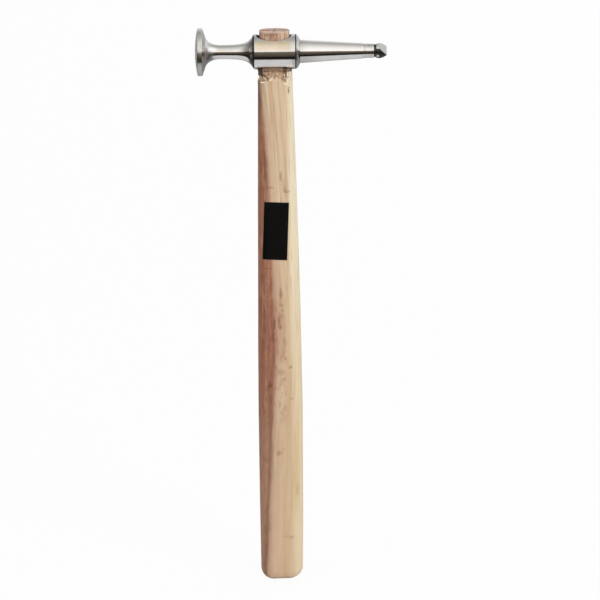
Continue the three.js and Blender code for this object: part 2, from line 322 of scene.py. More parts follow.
# Knife cuts round the shoulder: the direction in degrees, where 270 is the front, the half width
# in degrees, how far below the shoulder's top the cut begins, and how pale it is. The corner on the
# face side is broken out: its direction, half width, height, half height and depth. The chisel side
# keeps a share of the wood, over a half width in degrees.
knife_cuts = (
    (227, 16, 6.7, 0.35), (247, 13, 4.8, 0.5), (268, 15, 4.2, 0.4), (288, 10, 4.5, 0.6),
    (307, 9, 7.4, 0.4), (322, 9, 5.6, 0.8), (340, 14, 7.0, 0.8), (2, 15, 6.3, 0.5), (28, 15, 8.0, 0.7),
    (52, 14, 6.6, 0.4), (78, 16, 4.9, 0.65), (104, 15, 5.6, 0.5), (130, 15, 7.7, 0.8),
    (156, 15, 6.8, 0.4), (182, 15, 7.9, 0.6), (203, 12, 5.6, 0.8),
)
cut_bow = 1.3
knife_scoop = 2.3
torn_lip = 0.26
lip_drop = 0.25
lip_half_height = 0.35
ragged_border = 0.42
fibre_depth = 0.1
broken_corner = (188, 54, 319.5, 1.35, 1.5)
cleared_side = 0.6
kept_half_width = 42.0
kept_share = 0.72
ledge_height = 1.2
ledge_loss = 0.85
crush_depth = 0.12


def lattice_noise(seed, rows, columns, across_cells, along_cells):
    """Smooth noise from -1 to 1 on a grid: random values on a coarse lattice that closes on itself
    across, joined by the curve 3t^2 - 2t^3. rows and columns run from 0 to 1."""
    values = np.random.default_rng(seed).uniform(-1, 1, (along_cells + 2, across_cells))
    low_row, row_share = np.divmod(rows * along_cells, 1)
    low_column, column_share = np.divmod(columns * across_cells, 1)
    low_row = low_row.astype(int)
    low_column = low_column.astype(int) % across_cells
    next_column = (low_column + 1) % across_cells
    row_share = row_share * row_share * (3 - 2 * row_share)
    column_share = column_share * column_share * (3 - 2 * column_share)
    lower = values[low_row, low_column] * (1 - column_share)
    lower += values[low_row, next_column] * column_share
    upper = values[low_row + 1, low_column] * (1 - column_share)
    upper += values[low_row + 1, next_column] * column_share
    return lower * (1 - row_share) + upper * row_share


def oval(angles, half_length, half_width):
    """The eye's oval, |x/a|^2.6 + |y/b|^2.6 = 1, as points at these angles."""
    along = np.abs(np.cos(angles) / half_length) ** oval_power
    across = np.abs(np.sin(angles) / half_width) ** oval_power
    reach = (along + across) ** (-1 / oval_power)
    return reach * np.cos(angles), reach * np.sin(angles)


def grip_outline(angles, width, depth):
    """The grip's section: four flats and four bevelled corners. Each is a line at a distance from
    the middle, and the reach at an angle is (sum of (facing / distance)^12)^(-1/12), which softens
    the corners. It is stretched back to its full width and depth."""
    half_width = width / 2
    half_depth = depth / 2
    flats = [(1, 0, half_width), (-1, 0, half_width), (0, 1, half_depth), (0, -1, half_depth)]
    for side, share in ((1, chisel_side_arris_share), (-1, face_side_arris_share)):
        cut_across = width * share
        cut_deep = depth * arris_depth_share
        slant = np.hypot(cut_across, cut_deep)
        distance = (cut_deep * (half_width - cut_across) + cut_across * half_depth) / slant
        flats.append((side * cut_deep / slant, cut_across / slant, distance))
        flats.append((side * cut_deep / slant, -cut_across / slant, distance))

    def reach(at):
        facing = [np.maximum(x * np.cos(at) + y * np.sin(at), 0) / away for x, y, away in flats]
        return sum(share ** arris_power for share in facing) ** (-1 / arris_power)

    across = reach(angles) * np.cos(angles)
    stretch = np.where(across > 0, half_width / reach(0.0), half_width / reach(np.pi))
    return across * stretch, reach(angles) * np.sin(angles) * half_depth / reach(np.pi / 2)


def grip_size(height, butt, swell, shoulder):
    """Widens from the butt to the swell as a parabola, and narrows from there to the shoulder."""
    below = 1 - height / swell_height
    above = np.clip((height - swell_height) / (shoulder_bottom - swell_height), 0, 1)
    narrowed = shoulder + (swell - shoulder) * (1 - above ** swell_power)
    return np.where(height < swell_height, swell + (butt - swell) * below ** 2, narrowed)


def grip_centre(height):
    """The grip's middle: a line from the head to the butt, bowed as 4 s (1 - s)."""
    share = 1 - height / axis_height
    return butt_offset * share + 4 * grip_bow * share * (1 - share)


def grip_at(angles, heights, grow=0.0):
    """The grip's outline at these heights, as X and Y, moved out by grow."""
    width = grip_size(heights, butt_width, swell_width, shoulder_width) + 2 * grow
    depth = grip_size(heights, butt_depth, swell_depth, shoulder_depth) + 2 * grow
    across, deep = grip_outline(angles, width, depth)
    return across + grip_centre(heights), deep


def eye_half_width(heights):
    """The eye is straight above the barrel's middle, and narrows below it to its lower mouth."""
    return (eye_width - eye_taper * np.clip((axis_height - heights) / barrel_radius, 0, 1)) / 2


def tenon_size(heights):
    """The tenon's half length and the middle of it: it tapers towards its top."""
    share = np.clip((heights - shoulder_top) / (tenon_top - shoulder_top), 0, 1)
    return (tenon_length - share * tenon_taper) / 2, -eye_shift * (1 - share)


def knife_borders(angles):
    """For each cut, its border's height at these angles, a ragged parabola that is lowest in its
    middle, how far its middle is below the shoulder's top, and how pale it is."""
    rows, columns = np.zeros_like(angles), angles / (2 * np.pi)
    ragged = lattice_noise(14, rows, columns, 57, 1) + 0.5 * lattice_noise(10, rows, columns, 131, 1)
    borders = []
    for middle, half_width, drop, paleness in knife_cuts:
        away = (np.degrees(angles) - middle + 180) % 360 - 180
        border = shoulder_top - drop + cut_bow * (away / half_width) ** 2
        borders.append((border + ragged_border * ragged, drop, paleness))
    return borders


def new_piece(name, vertices, faces):
    """A mesh object from points in millimetres."""
    mesh = bpy.data.meshes.new(name)
    mesh.from_pydata((np.asarray(vertices) / metre).tolist(), [], faces)
    piece = bpy.data.objects.new(name, mesh)
    bpy.context.scene.collection.objects.link(piece)
    return piece


def closed_grids(name, grids):
    """A mesh of quads over rows of points, one shell for each grid. Each row closes on itself, and
    the first and the last row close on their middle. Seen from the last row's side, the points of
    a row run counterclockwise."""
    vertices = []
    faces = []
    start = 0
    for points in grids:
        rows, columns, _ = points.shape
        vertices += [points.reshape(-1, 3), points[:1].mean(axis=1), points[-1:].mean(axis=1)]
        here = start + np.arange(rows * columns).reshape(rows, columns)
        beside = np.roll(here, -1, axis=1)
        start += rows * columns + 2
        quads = np.stack([here[:-1], beside[:-1], beside[1:], here[1:]], axis=-1)
        first = np.stack([np.full(columns, start - 2), beside[0], here[0]], axis=-1)
        last = np.stack([np.full(columns, start - 1), here[-1], beside[-1]], axis=-1)
        faces += quads.reshape(-1, 4).tolist() + first.tolist() + last.tolist()
    return new_piece(name, np.concatenate(vertices), faces)


def shade(piece, sharp_angle):
    """Smooth shading, with creases only where the surface turns by more than this angle."""
    piece.data.shade_smooth()
    piece.data.set_sharp_from_angle(angle=math.radians(sharp_angle))


def cut_away(piece, cutter):
    """Cuts the cutter's space out of the piece, and deletes the cutter."""
    saw = piece.modifiers.new("cut", "BOOLEAN")
    saw.operation = "DIFFERENCE"
    saw.solver = "EXACT"
    saw.object = cutter
    with bpy.context.temp_override(object=piece, active_object=piece, selected_objects=[piece]):
        bpy.ops.object.modifier_apply(modifier=saw.name)
    bpy.data.objects.remove(cutter)


def handle_section(angles, heights, inset=0.0):
    """The handle's outline without its roughness: X, Y, how far the section has gone from the
    grip to the tenon, how near the border of a knife cut is, and how pale the cut is. A cut goes in
    by the share 1 - (1 - s)^2.3, less where exp(-a^4) keeps wood on the chisel side, whose ledge
    under the barrel is lower too."""
    grip_x, grip_y = grip_at(angles, heights, -inset)
    half_length, middle = tenon_size(heights)
    tenon_x, tenon_y = oval(angles, half_length - inset, eye_half_width(heights) - fit_gap - inset)
    toward_chisel = np.degrees(np.arctan2(np.sin(angles), np.cos(angles))) / kept_half_width
    kept = np.exp(-toward_chisel ** 4)
    ledge = ledge_height - ledge_loss * kept
    cut_share = np.clip((heights - shoulder_top) / ledge + 1, 0, 1)
    border_share = np.zeros_like(cut_share)
    pale_share = np.full_like(cut_share, 0.5)
    for border, drop, paleness in knife_borders(angles):
        begun = np.clip((heights - border) / drop, 0, 1)
        scooped = (1 - (1 - begun) ** knife_scoop) * (1 - kept_share * kept)
        pale_share = np.where(scooped > cut_share, paleness, pale_share)
        cut_share = np.maximum(cut_share, scooped)
        lip = np.exp(-((heights - border + lip_drop) / lip_half_height) ** 2)
        border_share = np.maximum(border_share, lip)
    across = grip_x * (1 - cut_share) + (tenon_x + middle) * cut_share
    deep = grip_y * (1 - cut_share) + tenon_y * cut_share
    return across, deep, cut_share, border_share, pale_share


def handle_surface():
    """The handle's surface, row by row from the butt's middle to the tenon's top. On top of the
    plain outline come the waves of hand sanding, torn fibres and raised lips where the knife cut, the
    broken-out corner, and a tenon top crushed by the hammer that drove the wedges. The butt's corner
    is a quarter oval, and rounder on the chisel side. Three shares are given with it: where the
    knife cut, where a lip stands, and how pale the cut is."""
    caps = len(cap_shares)
    turn = np.linspace(0, np.pi / 2, butt_rows, endpoint=False)
    top_turn = np.linspace(0, np.pi / 2, round_rows)
    heights = np.concatenate([
        np.zeros(caps),
        butt_round_up * (1 - np.cos(turn)),
        np.linspace(butt_round_up, shoulder_bottom - 2, grip_rows, endpoint=False),
        np.linspace(shoulder_bottom - 2, shoulder_top + 1.5, shoulder_rows, endpoint=False),
        np.linspace(shoulder_top + 1.5, tenon_top - tenon_round, tenon_rows, endpoint=False),
        tenon_top - tenon_round * (1 - np.sin(top_turn)),
        np.full(caps, tenon_top),
    ])[:, None]
    angles = np.linspace(0, 2 * np.pi, handle_columns, endpoint=False)[None, :]
    butt_share = np.clip(1 - heights / butt_round_up, 0, 1)
    top_share = np.clip((heights - tenon_top) / tenon_round + 1, 0, 1)
    butt_round = butt_round_across + butt_round_chisel_side * (1 + np.cos(angles))
    butt_round = butt_round + butt_round_flats * np.sin(angles) ** 2
    inset = butt_round * (1 - np.sqrt(1 - butt_share ** 2))
    inset += tenon_round * (1 - np.sqrt(1 - top_share ** 2))
    across, deep, cut_share, border_share, pale_share = handle_section(angles, heights, inset)

    rows = heights / tenon_top * np.ones_like(angles)
    columns = angles / (2 * np.pi) * np.ones_like(heights)
    carved = np.clip(cut_share * 6, 0, 1) * np.clip((shoulder_top + 3 - heights) / 3, 0, 1)
    fibres = lattice_noise(3, rows, columns, 150, 240)
    fibres += 0.6 * lattice_noise(4, rows, columns, 90, 700)
    torn = 0.15 + 1.1 * lattice_noise(5, rows, columns, 52, 420)
    crushed = np.clip((heights - tenon_top) / 2.5 + 1, 0, 1)
    proud = sanding_waves * lattice_noise(6, rows, columns, 7, 16)
    proud += fibre_depth * carved * fibres + torn_lip * border_share * (1 - carved) * torn
    proud += crush_depth * crushed * lattice_noise(7, rows, columns, 34, 160)
    direction, half_width, middle, half_height, depth = broken_corner
    side = np.exp(-(((np.degrees(angles) - direction) / half_width) ** 6))
    broken = np.exp(-(((heights - middle) / half_height) ** 2)) * depth
    cleared = np.clip((shoulder_top + 0.3 - heights) / 0.6, 0, 1)
    cleared = cleared * np.clip((heights - middle) / 1.5, 0, 1)
    proud -= side * np.maximum(broken, cleared * cleared_side)
    reach = np.hypot(across, deep)
    across = across * (1 + proud / reach)
    deep = deep * (1 + proud / reach)

    surface = np.stack([across, deep, heights * np.ones_like(angles)], axis=-1)
    shares = cap_shares[:, None, None]
    butt_cap = (slice(0, caps), surface[caps], shares)
    top_cap = (slice(-caps, None), surface[-caps - 1], shares[::-1])
    for cap, edge, cap_share in (butt_cap, top_cap):
        middle = edge.mean(axis=0)
        surface[cap] = middle + (edge - middle) * cap_share
    dents = np.abs(lattice_noise(8, rows[-caps:], columns[-caps:], 24, 30))
    surface[-caps:, :, 2] -= crush_depth * dents
    lips = border_share * (1 - carved) * np.clip(torn, 0, 1)
    return surface, {"carved": np.clip(cut_share * 3, 0, 1), "lips": lips, "paleness": pale_share}


# The slots that the two wedges are driven into: sizes of the wedges, and the play round them
wedge_sizes = {
    "wood": {"thickness": 2.4, "toe": 0.8, "length": eye_length + 6, "depth": 15.0, "sink": 0.0},
    "steel": {"thickness": 1.6, "toe": 0.5, "length": 9.0, "depth": 11.0, "sink": 0.2},
}
slot_play = 0.06
slot_overrun = 2.0


def slot_block(size, crossing):
    """The space of a wedge: a tapered block on its toe, whose thickness runs along Y, or along X
    where it crosses the other. It runs on above its top, so that it cuts right through."""
    top = tenon_top - size["sink"]
    slope = (size["thickness"] - size["toe"]) / 2 / size["depth"]
    toe_half = size["toe"] / 2 + slot_play
    top_half = size["thickness"] / 2 + slot_play + slope * slot_overrun
    levels = ((top - size["depth"] - slot_play, toe_half), (top + slot_overrun, top_half))
    corners = []
    for height, half in levels:
        for x, y in ((-1, -1), (1, -1), (1, 1), (-1, 1)):
            corner = (x * (size["length"] / 2 + slot_play), y * half)
            corners.append((*(corner[::-1] if crossing else corner), height))
    faces = [(3, 2, 1, 0), (4, 5, 6, 7)]
    faces += [(i, (i + 1) % 4, (i + 1) % 4 + 4, i + 4) for i in range(4)]
    return new_piece("slot", corners, [face[::-1] for face in faces] if crossing else faces)


surface, shares = handle_surface()
grip = closed_grids("whittled_handle", [surface])
for share_name, share in shares.items():
    layer = grip.data.attributes.new(share_name, "FLOAT", "POINT")
    layer.data.foreach_set("value", np.append(share.ravel(), [0.0, 0.0]))
for kind in wedge_sizes:
    cut_away(grip, slot_block(wedge_sizes[kind], kind == "steel"))
shade(grip, 50)


def noise(place, sizes, detail=2.0, roughness=0.5, shift=0.0):
    """Noise from 0 to 1, with features of these sizes in millimetres along X, Y and Z."""
    scales = [metre / size for size in sizes]
    mapped = Socket.node("Mapping", None, {
        "Vector": place,
        "Location": (shift, shift, shift),
        "Scale": scales,
    })
    settings = {"Vector": mapped, "Scale": 1.0, "Detail": detail, "Roughness": roughness}
    return Socket.node("TexNoise", None, settings, outlet="Fac")


def finish_with(settings, bump=None, bump_depth=0.0):
    """The last nodes of a material: a Principled surface, with a bump of this depth in metres."""
    if bump is not None:
        height = {"Height": bump, "Distance": bump_depth, "Strength": 1.0}
        settings = {**settings, "Normal": Socket.node("Bump", None, height)}
    surface = Socket.node("BsdfPrincipled", None, settings)
    Socket.node("OutputMaterial", None, {"Surface": surface})


def tones(value, *stops):
    """A ramp whose stops are each a place, and a red, a green and a blue from 0 to 255."""
    return ramp(value, *[(place, paint(*colour)) for place, *colour in stops])


def layered(colour, *coats):
    """Masks laid over a colour in turn, each with its strength, and its tone as red, green and blue
    from 0 to 255 or as a socket."""
    for mask, strength, tone in coats:
        tone = tone if isinstance(tone, Socket) else paint(*tone)
        colour = blend(mask * strength, colour, tone)
    return colour


# The edge of the reddish heartwood across the front, as pairs of height and distance to the side.
# The marks on the front: place across, height, half width, half height and strength.
heart_edges = (
    (0, -7.0), (15, -6.4), (31, -5.2), (47, -4.7), (62, -4.3), (78, -3.6), (93, -2.9), (109, -2.6),
    (124, -1.8), (140, -1.2), (155, -0.6), (178, -1.4), (201, -2.5), (246, -3.8), (269, -5.0),
    (291, -6.4), (304, -7.6), (314, -8.7), (330, -9.3),
)
heart_reach = 14.0
heart_start = -10.0
heart_span = 350.0
grain_follows = 0.8
marks = (
    (-1.8, 166.5, 0.6, 3.4, 0.8), (0.9, 168.7, 0.7, 2.4, 0.6), (2.6, 171.2, 0.6, 1.4, 0.45),
    (1.5, 164.4, 1.0, 0.9, 0.5), (-7.6, 162.7, 0.5, 2.6, 0.35), (-8.8, 155.0, 0.9, 1.3, 0.4),
    (-2.9, 158.2, 0.8, 2.2, 0.5), (2.8, 178.5, 1.0, 0.9, 0.35), (2.9, 175.2, 0.6, 0.9, 0.4),
    (4.5, 144.7, 0.9, 0.8, 0.35), (7.8, 139.1, 0.9, 0.9, 0.5), (2.6, 135.8, 1.9, 1.7, 0.3),
    (4.0, 131.3, 0.7, 0.7, 0.4), (-1.1, 139.2, 0.6, 1.5, 0.4), (-5.0, 127.5, 1.0, 1.4, 0.9),
    (-5.2, 123.5, 0.5, 5.5, 0.4), (8.7, 119.0, 1.1, 0.7, 0.3), (0.1, 83.7, 1.2, 1.4, 0.45),
    (3.2, 86.6, 1.1, 0.6, 0.25), (11.5, 59.4, 0.7, 2.8, 0.35), (7.4, 28.8, 1.4, 0.8, 0.3),
    (4.2, 29.5, 1.9, 0.5, 0.2), (8.3, 312.3, 0.5, 1.7, 0.9), (3.0, 259.5, 0.7, 2.2, 0.5),
    (5.4, 251.1, 0.6, 1.7, 0.5), (6.9, 249.8, 1.7, 0.6, 0.4), (-3.6, 252.4, 1.9, 0.5, 0.45),
    (-5.7, 201.8, 1.9, 0.5, 0.4), (2.2, 185.5, 0.7, 2.6, 0.6), (-8.3, 292.1, 0.6, 1.6, 0.4),
)


def wood_colours(place, x, y, z):
    """Handle wood: pale sapwood with fine upright streaks, a band of heartwood down the face side with
    a line of painted shade along the arris of its bevel low on the grip, a chisel side painted paler
    and yellower, partly its own tone and partly a painted highlight where the key lamp falls, small
    brown marks, and pores. The grain bends as the heartwood's edge does."""
    edge_stops = [
        ((height - heart_start) / heart_span, grey((across + heart_reach) / (2 * heart_reach)))
        for height, across in heart_edges
    ]
    edge = ramp((z - heart_start) / heart_span, *edge_stops)
    edge = Socket.node("SeparateColor", None, {0: edge}) * (2 * heart_reach) - heart_reach
    wander = (noise(place, (16, 16, 50), 1.0, 0.5, 61.0) - 0.5) * 3.0
    bent = Socket.node("CombineXYZ", None, {
        0: (x - edge * grain_follows + wander) / metre,
        1: (y + wander) / metre,
        2: z / metre,
    })

    sway = (noise(place, (60, 60, 90), 1.0) - 0.5) * 3.0
    streaks = noise(bent, (2.2, 2.2, 70), 3.0, 0.55)
    threads = noise(bent, (0.55, 0.55, 13), 3.0, 0.6, 3.0)
    broad = noise(bent, (9, 9, 120), 1.0, 0.5, 7.0)
    veins = rise(noise(bent, (0.8, 0.8, 24), 2.0, 0.5, 31.0), 0.55, 0.7)
    pale = tones(
        streaks * 0.75 + threads * 0.25,
        (0.3, 190, 160, 124), (0.45, 209, 181, 147), (0.6, 220, 195, 163), (0.75, 230, 208, 180),
    )
    pink = rise(broad, 0.42, 0.62) * rise(x, 7, -4)
    orange = window(x + sway, 2.5, 9.0, 1.5) * rise(z, 215, 150)
    # Painted highlight on the chisel side: yellow pales and yellows it, partly the wood's own tone and
    # partly painted light from the key lamp, and the next mask paints its upper part near white.
    yellow = rise(x + sway - window(z, 50, 130, 15) * 2.0, 5.5, 12.0)
    painted_side_highlight = rise(x, 6.5, 9.5) * rise(z, 110, 260)
    amber = window(z, 135, 205, 30) * rise(x, 6, -2)
    amber_tone = tones(threads, (0.35, 178, 134, 102), (0.65, 212, 170, 138))

    uneven = (noise(bent, (5, 5, 26), 2.0, 0.5, 11.0) - 0.5) * 3.0
    uneven = uneven + (noise(bent, (1.2, 1.2, 12), 2.0, 0.5, 12.0) - 0.5) * 1.4
    depth_in = edge - x + uneven
    lower = rise(z, 150, 60)
    softness = 2.0 + lower * 0.9
    heart = rise(depth_in, softness * -1.0, softness)
    pale = layered(
        pale,
        (pink, 0.35, (216, 178, 156)),
        (orange, 0.55, (208, 174, 136)),
        # The two chisel-side coats: the wood's yellowish tone with a painted highlight.
        (yellow, 0.7, (233, 214, 177)),
        (painted_side_highlight, 0.7, (240, 229, 200)),
        (amber, 0.4, amber_tone),
        (veins, rise(z, 90, 210) * 0.32 + 0.12, (168, 138, 104)),
        (rise(depth_in, -6.0, -1.5), 0.4, (196, 162, 138)),
    )
    heart_tone = tones(
        noise(bent, (1.1, 1.1, 40), 3.0, 0.6, 5.0),
        (0.3, 126, 79, 58), (0.46, 151, 97, 72), (0.6, 167, 113, 86), (0.75, 190, 143, 110),
    )
    blotches = noise(place, (2.6, 2.6, 6.5), 3.0, 0.6, 71.0)
    blush = rise(noise(place, (4, 4, 16), 2.0, 0.5, 81.0), 0.48, 0.62) * window(z, 110, 190, 12)
    heart_tone = layered(
        heart_tone,
        (lower, 0.5, (184, 148, 120)),
        (rise(z, 292, 314), 0.7, (84, 60, 44)),
        (rise(blotches, 0.52, 0.68), 0.45, (120, 74, 56)),
        (rise(blotches, 0.46, 0.32), 0.4, (184, 136, 112)),
        (blush, 0.45, (152, 92, 78)),
    )

    # Painted shade: a dark line just inside the heartwood's edge on the lower grip, along the arris of
    # the face-side bevel.
    arris_shade_line = window(depth_in, 1.0, 3.0, 0.9) * rise(z, 190, 130)
    mottled = rise(noise(place, (2.4, 2.4, 6.0), 3.0, 0.6, 51.0), 0.46, 0.64)
    mottled = mottled * window(z, 105, 182, 14) * window(x, -6.5, 5.5, 2.5)
    cloud = window(z, 148, 176, 10) * window(x, -3.0, 4.5, 2.5)
    frayed = noise(place, (0.9, 0.9, 1.8), 3.0, 0.65, 41.0)
    nudge = (frayed - 0.5) * 1.6
    torn_edge = (frayed * 3.6 - 0.8).math("MAXIMUM", 0.2)
    marked = 0.0
    for across, height, wide, tall, strength in marks:
        from_mark = ((x + nudge - across) / wide).math("POWER", 2.0)
        from_mark = from_mark + ((z + nudge - height) / tall).math("POWER", 2.0)
        marked = rise(from_mark * torn_edge, 2.6, 0.1) * strength + marked
    marked = (marked * rise(y, 2, -2)).math("MINIMUM", 1.0)
    olive = window(z, 45, 105, 14) * window(x, 9.0, 12.6, 0.8)
    pores = rise(noise(bent, (0.35, 0.35, 4.0), 2.0, 0.5, 21.0), 0.64, 0.74)
    colour = layered(
        pale,
        (heart, 0.97, heart_tone),
        (arris_shade_line, 0.5, (118, 84, 64)),
        (mottled, 0.42, (158, 112, 84)),
        (cloud, 0.25, (164, 116, 88)),
        (marked, 0.75, (108, 60, 26)),
        (olive, 0.4, (208, 182, 128)),
        (pores, 0.22, (140, 106, 78)),
    )
    return colour, streaks, threads


new_material(grip)
place = Socket.node("TexCoord", outlet="Object")
x, y, z = [axis * metre for axis in axes(place)]
colour, streaks, threads = wood_colours(place, x, y, z)
flecks = noise(place, (0.7, 0.7, 1.9), 4.0, 0.65, 13.0)
carved, lips, paleness = [
    Socket.node("Attribute", {"attribute_name": share_name}, outlet="Fac") for share_name in shares
]
whittled = tones(
    flecks * 0.7 + paleness * 0.35,
    (0.4, 132, 96, 68), (0.48, 184, 150, 120), (0.58, 212, 182, 152), (0.7, 244, 220, 196),
)
jagged = (flecks - 0.5) * 5
slant = z + x * 0.5 + jagged
# Painted shade in the whittled shoulder under the barrel: a near-black recess at the face-side front
# corner, a reddish strip at its edge that is partly the wood's tone and partly painted half shade, and
# a dark olive-brown hollow towards the chisel side of the front.
left_hollow_shade = rise(x + jagged, -6.4, -7.2) * rise(slant, shoulder_top - 8.2, shoulder_top - 7.2)
left_hollow_shade = left_hollow_shade * rise(x, -5.0, -6.6)
hollow_wall_shade = window(x + jagged, -7.6, -5.8, 0.5) * window(z, shoulder_top - 4.4, shoulder_top - 2.0, 0.6)
right_hollow_shade = rise(z + jagged, shoulder_top - 5.4, shoulder_top - 3.6)
right_hollow_shade = right_hollow_shade * window(x + jagged * 0.4, 5.0, 7.3, 0.5)
flaked = rise(x + jagged * 0.5, 7.3, 8.0) * carved
flaked_tone = tones(
    noise(place, (0.5, 0.5, 0.9), 3.0, 0.6, 19.0),
    (0.38, 128, 100, 74), (0.47, 232, 214, 190), (0.6, 255, 246, 232),
)
shade_below = rise(z, shoulder_top - 1.4, shoulder_top - 0.1)
soiled = rise(z, 3.6, 0.4) * rise(flecks, 0.35, 0.6)
in_front = rise(y, 0, -3)
tenon_tone = tones(
    noise(place, (1.3, 1.3, 9.0), 3.0, 0.6, 17.0) + rise(x, 3, 9) * 0.15,
    (0.3, 152, 112, 88), (0.5, 184, 147, 124), (0.7, 214, 186, 160),
)
crushed = tones(flecks, (0.38, 168, 128, 108), (0.5, 222, 196, 180))
bruise = window(z, tenon_top - 2.4, tenon_top - 0.9, 0.4) * rise(flecks, 0.54, 0.46)
bruise = bruise * window(x, -7.5, 2.0, 1.0)
colour = layered(
    colour,
    (carved, 0.9, whittled),
    (rise(lips, 0.15, 0.6), 1.0, (250, 226, 202)),
    (flaked, 0.85, flaked_tone),
    # Painted shade in the shoulder's hollows.
    (right_hollow_shade * in_front, 0.85, (98, 76, 48)),
    (left_hollow_shade * in_front, 0.93, (52, 42, 40)),
    (hollow_wall_shade * in_front, 0.8, (104, 64, 40)),
    (shade_below, 0.62, (86, 56, 40)),
    (soiled, 0.4, (136, 116, 96)),
    (rise(z, shoulder_top + 6, shoulder_top + 12), 1.0, tenon_tone),
    (rise(z, tenon_top - 0.7, tenon_top - 0.25), 1.0, crushed),
    (bruise, 0.6, (126, 76, 58)),
)
finish_with(
    {"Base Color": colour, "Roughness": 0.5 + streaks * 0.2, "IOR": 1.45},
    bump=streaks * 0.5 + threads * 0.5,
    bump_depth=0.00012,
)
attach(grip, "root")
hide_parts("handle")


# Slivers. The knife left thin curled chips hanging at the border of its cuts, paler than the sanded
# wood round them. Those on the front are listed one by one, and the rest are placed by chance.
# Each has its X on the front, its height, length, width, lean from upright in degrees, and curl.
front_slivers = (
    (-5.2, 318.6, 3.8, 2.0, -48, 0.5), (-5.0, 318.2, 4.2, 1.2, -104, 0.5),
    (-6.4, 317.4, 3.0, 1.0, -76, 0.5), (-2.9, 319.5, 2.8, 1.2, 50, 0.6),
    (-0.2, 320.3, 3.6, 1.5, 86, 0.4), (3.0, 319.9, 2.4, 0.9, 16, 0.6),
    (5.0, 317.2, 3.4, 1.8, 104, 0.5), (7.9, 317.4, 3.4, 1.5, 8, 0.4),
    (8.4, 320.6, 2.6, 1.1, -10, 0.5), (6.9, 319.4, 2.0, 0.9, 44, 0.6),
    (-3.9, 320.4, 1.9, 0.8, -32, 0.6), (1.9, 319.0, 1.6, 0.8, -70, 0.5),
    (-1.6, 319.0, 1.8, 0.7, -84, 0.5), (4.0, 318.4, 1.6, 0.7, 120, 0.5),
    (8.8, 318.9, 2.0, 1.0, -36, 0.5),
)
chance_slivers = 17
sliver_thickness = 0.2
sliver_start = 0.2
sliver_rows = 12
sliver_columns = 10


def sliver(angle, height, length, width, lean, curl):
    """A strip that leaves the wood at a small angle, and turns outwards evenly along its length:
    the sum of length * (cos a, sin a), where a grows from 0.2 to 0.2 + curl. Its width goes as
    s^0.25 sqrt(1 - s), and its section is a flat oval."""
    share = np.linspace(0.04, 0.98, sliver_rows)[:, None]
    beside = np.array([[angle - 0.05, angle, angle + 0.05]])
    x, y = [part.ravel() for part in handle_section(beside, np.array([[height]]))[:2]]
    root = np.array([x[1], y[1], height])
    level = np.array([x[2] - x[0], y[2] - y[0], 0])
    level = level / np.linalg.norm(level)
    outward = np.array([level[1], -level[0], 0])
    along = np.array([0, 0, 1]) * math.cos(lean) + level * math.sin(lean)
    sideways = np.cross(outward, along)
    turn = sliver_start + curl * share
    run = length * (np.sin(turn) - math.sin(sliver_start)) / curl
    lift = length * (math.cos(sliver_start) - np.cos(turn)) / curl - sliver_thickness / 2
    narrowed = share ** 0.25 * np.sqrt(1 - share)
    across = 2 * np.pi * np.arange(sliver_columns)[None, :] / sliver_columns
    flat = width / 2 * narrowed * np.cos(across)
    thick = sliver_thickness / 2 * narrowed * np.sin(across)
    forward = run - thick * np.sin(turn)
    away = lift + thick * np.cos(turn)
    curled = forward[..., None] * along + away[..., None] * outward
    return root + curled + flat[..., None] * sideways


chance = np.random.default_rng(21)
curls = [
    sliver(math.atan2(-shoulder_depth / 2, across), height, length, width, math.radians(lean), curl)
    for across, height, length, width, lean, curl in front_slivers
]
for _ in range(chance_slivers):
    angle = math.radians(chance.uniform(-46, 205))
    height = min(border.item() for border, *_ in knife_borders(np.array([angle])))
    curls.append(sliver(
        angle, height + chance.uniform(-0.3, 0.8), chance.uniform(1.2, 2.6), chance.uniform(0.6, 1.3),
        math.radians(chance.uniform(-100, 100)), chance.uniform(0.2, 0.5),
    ))
slivers = closed_grids("shoulder_slivers", curls)
shade(slivers, 60)

new_material(slivers)
place = Socket.node("TexCoord", outlet="Object")
torn = noise(place, (0.5, 0.5, 1.6), 3.0, 0.6)
colour = tones(torn, (0.3, 226, 188, 156), (0.46, 252, 228, 204), (0.65, 255, 244, 230))
finish_with({"Base Color": colour, "Roughness": 0.55}, bump=torn, bump_depth=0.0001)
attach(slivers, "root")


# The head. One bar of tool steel, turned in a lathe and polished bright: a crowned face on a round
# disc, a thin neck, a thick barrel with the oval eye through it, and a long tapered shank with a
# short collar, which has a few fine lines cut round it.
neck_span = 29.3
neck_radius = 4.33
disc_radius = (head_high[1] - head_low[1]) / 2
rim_thickness = 3.1
rim_round = 0.5
disc_back_slope = 1.4
fillet_radius = disc_radius * 0.69
barrel_face_end = -eye_shift - eye_length / 2 - 1.8
barrel_shank_end = -eye_shift + eye_length / 2 + 3.3
barrel_bevel = 0.5
shank_root_radius = 7.1
shank_end_radius = 4.67
shank_start = barrel_shank_end + 2.0
shank_end = shank_start + 38.2
collar_end = head_high[0]
collar_radius = shank_end_radius - 0.3
collar_round = 0.3
bore_radius = 2.8
bore_depth = 8.3
disc_back = barrel_face_end - neck_span
rim_back = disc_back - disc_back_slope
rim_front = rim_back - rim_thickness
crown = head_low[0]
neck_start = disc_back + neck_span * 0.3
neck_end = barrel_face_end - neck_span * 0.56
face_middle = 0.6
polish_waves = 0.035
eye_chamfer = 0.5
waves_past_collar = 12.0
head_columns = 192
collar_cuts = (0.0, 1.6, 3.2, 4.9)


def part_way(start, end, shares):
    """A point in the box between two others, by its shares of the way along and up."""
    return [a + (b - a) * share for a, b, share in zip(start, end, shares)]


